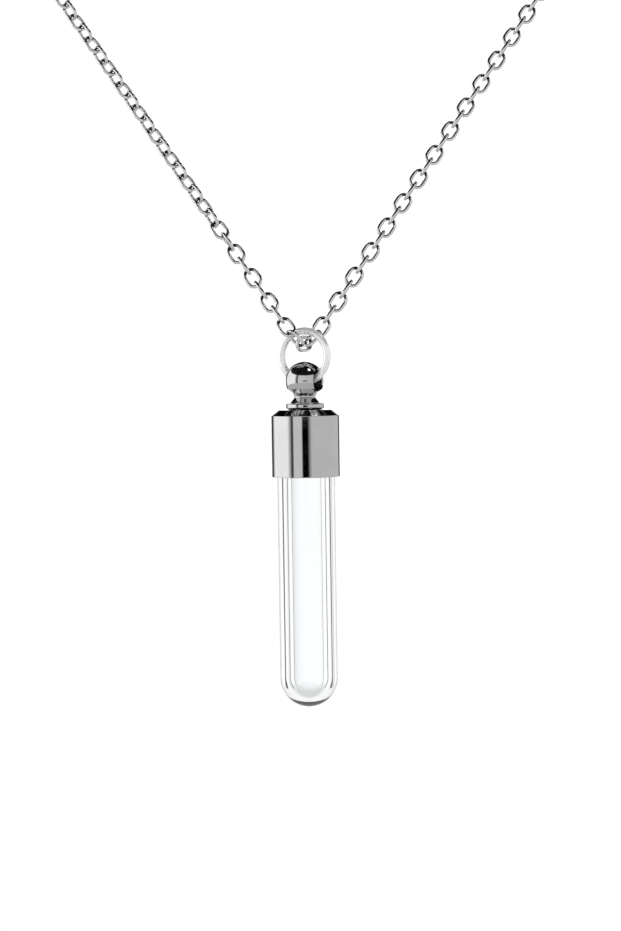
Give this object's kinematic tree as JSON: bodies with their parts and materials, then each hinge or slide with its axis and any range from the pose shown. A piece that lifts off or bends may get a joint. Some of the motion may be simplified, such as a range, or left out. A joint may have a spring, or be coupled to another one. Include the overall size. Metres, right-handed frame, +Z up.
{
  "type": "bottle pendant necklace",
  "caption": "Glass vial pendant with a steel screw cap and ball bail, hung by a jump ring on a fine cable chain with a closed clasp.",
  "frame": {"origin": "middle of the clasp, where the chain rests on the nape of the neck", "axes": "+Z up, along the longest extent, -Y to the front of the wearer, +X to the right of a viewer in front"},
  "size_m": [0.1218, 0.1167, 0.166],
  "materials": {
    "clear_glass": "clear, polished",
    "polished_steel": "mirror polished stainless steel",
    "ring_steel": "polished round wire",
    "chain_steel": "polished round wire"
  },
  "bodies": {
    "necklace": {"chain": "chain_steel", "clasp": "chain_steel"},
    "ring": {"jump_ring": "ring_steel"},
    "bail": {"screw_bail": "polished_steel"},
    "bottle": {"cap": "polished_steel", "vial": "clear_glass"}
  },
  "joints": [
    {"name": "ring_swing", "type": "hinge", "parent": "necklace", "child": "ring", "pos_m": [0, -0.11039, -0.11236], "axis": [0.9063, -0.4226, 0], "range_deg": [-25, 25]},
    {"name": "pendant_swing", "type": "hinge", "parent": "ring", "child": "bail", "pos_m": [0, -0.11039, -0.11924], "axis": [0.9063, -0.4226, 0], "range_deg": [-80, 80]},
    {"name": "bottle_unscrew", "type": "slide", "parent": "bail", "child": "bottle", "axis": [0, 0, -1], "range_m": [0, 0.0042]}
  ]
}
